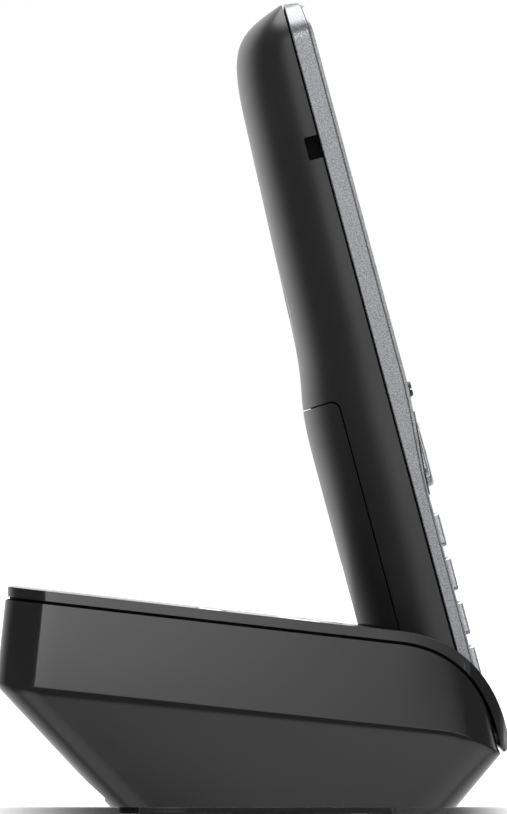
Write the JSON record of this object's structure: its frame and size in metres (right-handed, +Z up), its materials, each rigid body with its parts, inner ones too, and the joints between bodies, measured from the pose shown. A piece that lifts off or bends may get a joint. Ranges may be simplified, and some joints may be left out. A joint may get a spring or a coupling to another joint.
{
  "type": "cordless phone with base",
  "caption": "Cordless desk phone: a slim keypad handset leaning back in the cradle of a sloping charging base with message keys on its top.",
  "frame": {"origin": "centre of the bounding box in plan, on the surface that the feet stand on", "axes": "+Z up; -Y is the front, which the keypad faces; +X is to the right of a person who faces the keypad from the front"},
  "size_m": [0.132, 0.1034, 0.165],
  "materials": {
    "gloss_black_base": "high gloss",
    "top_cover_black": "gloss",
    "satin_black": "satin",
    "handset_black": "semi gloss",
    "silver_paint": "fine metallic satin",
    "silver_fascia": "satin",
    "key_silver": "satin",
    "key_dark": "satin",
    "nav_metal": "satin",
    "lens_black": "mirror gloss",
    "display_grey": "satin",
    "led_red": "clear gloss",
    "rubber_dark": "matte",
    "rubber_clear": "matte",
    "rubber_mat": "matte",
    "board_green": "satin",
    "jack_ivory": "satin",
    "steel": "brushed",
    "gold_contact": "plated",
    "cell_wrap": "satin",
    "speaker_body": "satin"
  },
  "bodies": {
    "base": {"base_body_shell": "gloss_black_base", "base_bottom_plate": "satin_black", "base_top_cover": "top_cover_black", "cradle_well": "satin_black", "base_main_board": "board_green", "base_key_board": "board_green", "line_jack": "jack_ivory", "power_jack": "satin_black", "base_speaker": "speaker_body", "base_key_mat": "rubber_mat", "led_window": "led_red", "rear_feet": "rubber_dark", "front_feet": "rubber_clear", "base_screws": "steel"},
    "handset": {"handset_rear_shell": "handset_black", "handset_front_frame": "silver_paint", "handset_fascia": "silver_fascia", "display_lens": "lens_black", "display_module": "display_grey", "earpiece_grille": "key_dark", "earpiece_receiver": "speaker_body", "handsfree_speaker": "speaker_body", "rear_inlay": "handset_black", "handset_board": "board_green", "handset_key_mat": "rubber_mat", "key_plate": "key_dark", "battery_cover": "handset_black", "battery_cells": "cell_wrap", "battery_contacts": "steel", "charge_pads": "gold_contact", "handset_screws": "steel", "microphone": "speaker_body"},
    "key_1_body": {"key_1": "key_silver"},
    "key_2_body": {"key_2": "key_silver"},
    "key_3_body": {"key_3": "key_silver"},
    "key_4_body": {"key_4": "key_silver"},
    "key_5_body": {"key_5": "key_silver"},
    "key_6_body": {"key_6": "key_silver"},
    "key_7_body": {"key_7": "key_silver"},
    "key_8_body": {"key_8": "key_silver"},
    "key_9_body": {"key_9": "key_silver"},
    "key_star_body": {"key_star": "key_silver"},
    "key_0_body": {"key_0": "key_silver"},
    "key_hash_body": {"key_hash": "key_silver"},
    "soft_key_left_body": {"soft_key_left": "key_dark"},
    "soft_key_right_body": {"soft_key_right": "key_dark"},
    "talk_key_body": {"talk_key": "key_silver"},
    "off_key_body": {"off_key": "key_silver"},
    "nav_centre_body": {"nav_centre": "key_silver"},
    "page_key_body": {"page_key": "key_silver"},
    "play_key_body": {"play_key": "key_silver"},
    "back_key_body": {"back_key": "key_silver"},
    "forward_key_body": {"forward_key": "key_silver"},
    "erase_key_body": {"erase_key": "key_silver"},
    "volume_rocker_body": {"volume_rocker": "key_silver"},
    "charge_contact_left_body": {"charge_contact_left": "gold_contact"},
    "charge_contact_right_body": {"charge_contact_right": "gold_contact"},
    "nav_pivot_body": {"nav_pivot": "nav_metal"},
    "nav_ring_body": {"nav_ring": "nav_metal"}
  },
  "joints": [
    {"name": "handset_lift", "type": "slide", "parent": "base", "child": "handset", "axis": [0, 0.2588, 0.9659], "range_m": [0, 0.06]},
    {"name": "key_1_press", "type": "slide", "parent": "handset", "child": "key_1_body", "axis": [0, 0.9659, -0.2588], "range_m": [0, 0.0004], "stiffness_N_per_m": 600, "springref_m": -0.0004},
    {"name": "key_2_press", "type": "slide", "parent": "handset", "child": "key_2_body", "axis": [0, 0.9659, -0.2588], "range_m": [0, 0.0004], "stiffness_N_per_m": 600, "springref_m": -0.0004},
    {"name": "key_3_press", "type": "slide", "parent": "handset", "child": "key_3_body", "axis": [0, 0.9659, -0.2588], "range_m": [0, 0.0004], "stiffness_N_per_m": 600, "springref_m": -0.0004},
    {"name": "key_4_press", "type": "slide", "parent": "handset", "child": "key_4_body", "axis": [0, 0.9659, -0.2588], "range_m": [0, 0.0004], "stiffness_N_per_m": 600, "springref_m": -0.0004},
    {"name": "key_5_press", "type": "slide", "parent": "handset", "child": "key_5_body", "axis": [0, 0.9659, -0.2588], "range_m": [0, 0.0004], "stiffness_N_per_m": 600, "springref_m": -0.0004},
    {"name": "key_6_press", "type": "slide", "parent": "handset", "child": "key_6_body", "axis": [0, 0.9659, -0.2588], "range_m": [0, 0.0004], "stiffness_N_per_m": 600, "springref_m": -0.0004},
    {"name": "key_7_press", "type": "slide", "parent": "handset", "child": "key_7_body", "axis": [0, 0.9659, -0.2588], "range_m": [0, 0.0004], "stiffness_N_per_m": 600, "springref_m": -0.0004},
    {"name": "key_8_press", "type": "slide", "parent": "handset", "child": "key_8_body", "axis": [0, 0.9659, -0.2588], "range_m": [0, 0.0004], "stiffness_N_per_m": 600, "springref_m": -0.0004},
    {"name": "key_9_press", "type": "slide", "parent": "handset", "child": "key_9_body", "axis": [0, 0.9659, -0.2588], "range_m": [0, 0.0004], "stiffness_N_per_m": 600, "springref_m": -0.0004},
    {"name": "key_star_press", "type": "slide", "parent": "handset", "child": "key_star_body", "axis": [0, 0.9659, -0.2588], "range_m": [0, 0.0004], "stiffness_N_per_m": 600, "springref_m": -0.0004},
    {"name": "key_0_press", "type": "slide", "parent": "handset", "child": "key_0_body", "axis": [0, 0.9659, -0.2588], "range_m": [0, 0.0004], "stiffness_N_per_m": 600, "springref_m": -0.0004},
    {"name": "key_hash_press", "type": "slide", "parent": "handset", "child": "key_hash_body", "axis": [0, 0.9659, -0.2588], "range_m": [0, 0.0004], "stiffness_N_per_m": 600, "springref_m": -0.0004},
    {"name": "soft_key_left_press", "type": "slide", "parent": "handset", "child": "soft_key_left_body", "axis": [0, 0.9659, -0.2588], "range_m": [0, 0.0004], "stiffness_N_per_m": 600, "springref_m": -0.0004},
    {"name": "soft_key_right_press", "type": "slide", "parent": "handset", "child": "soft_key_right_body", "axis": [0, 0.9659, -0.2588], "range_m": [0, 0.0004], "stiffness_N_per_m": 600, "springref_m": -0.0004},
    {"name": "talk_key_press", "type": "slide", "parent": "handset", "child": "talk_key_body", "axis": [0, 0.9659, -0.2588], "range_m": [0, 0.0004], "stiffness_N_per_m": 600, "springref_m": -0.0004},
    {"name": "off_key_press", "type": "slide", "parent": "handset", "child": "off_key_body", "axis": [0, 0.9659, -0.2588], "range_m": [0, 0.0004], "stiffness_N_per_m": 600, "springref_m": -0.0004},
    {"name": "nav_centre_press", "type": "slide", "parent": "handset", "child": "nav_centre_body", "axis": [0, 0.9659, -0.2588], "range_m": [0, 0.00035], "stiffness_N_per_m": 600, "springref_m": -0.0004},
    {"name": "page_key_press", "type": "slide", "parent": "base", "child": "page_key_body", "axis": [0, 0.1132, -0.9936], "range_m": [0, 0.0005], "stiffness_N_per_m": 600, "springref_m": -0.0004},
    {"name": "play_key_press", "type": "slide", "parent": "base", "child": "play_key_body", "axis": [0, 0.1132, -0.9936], "range_m": [0, 0.0005], "stiffness_N_per_m": 600, "springref_m": -0.0004},
    {"name": "back_key_press", "type": "slide", "parent": "base", "child": "back_key_body", "axis": [0, 0.1132, -0.9936], "range_m": [0, 0.0005], "stiffness_N_per_m": 600, "springref_m": -0.0004},
    {"name": "forward_key_press", "type": "slide", "parent": "base", "child": "forward_key_body", "axis": [0, 0.1132, -0.9936], "range_m": [0, 0.0005], "stiffness_N_per_m": 600, "springref_m": -0.0004},
    {"name": "erase_key_press", "type": "slide", "parent": "base", "child": "erase_key_body", "axis": [0, 0.1132, -0.9936], "range_m": [0, 0.0005], "stiffness_N_per_m": 600, "springref_m": -0.0004},
    {"name": "charge_contact_left_flex", "type": "slide", "parent": "base", "child": "charge_contact_left_body", "axis": [0, 0.2588, 0.9659], "range_m": [-0.0006, 0], "stiffness_N_per_m": 500, "springref_m": 0.0005},
    {"name": "charge_contact_right_flex", "type": "slide", "parent": "base", "child": "charge_contact_right_body", "axis": [0, 0.2588, 0.9659], "range_m": [-0.0006, 0], "stiffness_N_per_m": 500, "springref_m": 0.0005},
    {"name": "volume_rock", "type": "hinge", "parent": "base", "child": "volume_rocker_body", "pos_m": [-0.032, 0.00897, 0.03768], "axis": [0, 0.9936, 0.1132], "range_deg": [-2, 2], "stiffness_Nm_per_rad": 0.05},
    {"name": "nav_up_down", "type": "hinge", "parent": "handset", "child": "nav_pivot_body", "pos_m": [0.028, -0.0309, 0.07207], "axis": [1, 0, 0], "range_deg": [-2.5, 2.5], "stiffness_Nm_per_rad": 0.05},
    {"name": "nav_left_right", "type": "hinge", "parent": "nav_pivot_body", "child": "nav_ring_body", "pos_m": [0.028, -0.0309, 0.07207], "axis": [0, 0.2588, 0.9659], "range_deg": [-2.5, 2.5], "stiffness_Nm_per_rad": 0.05}
  ]
}
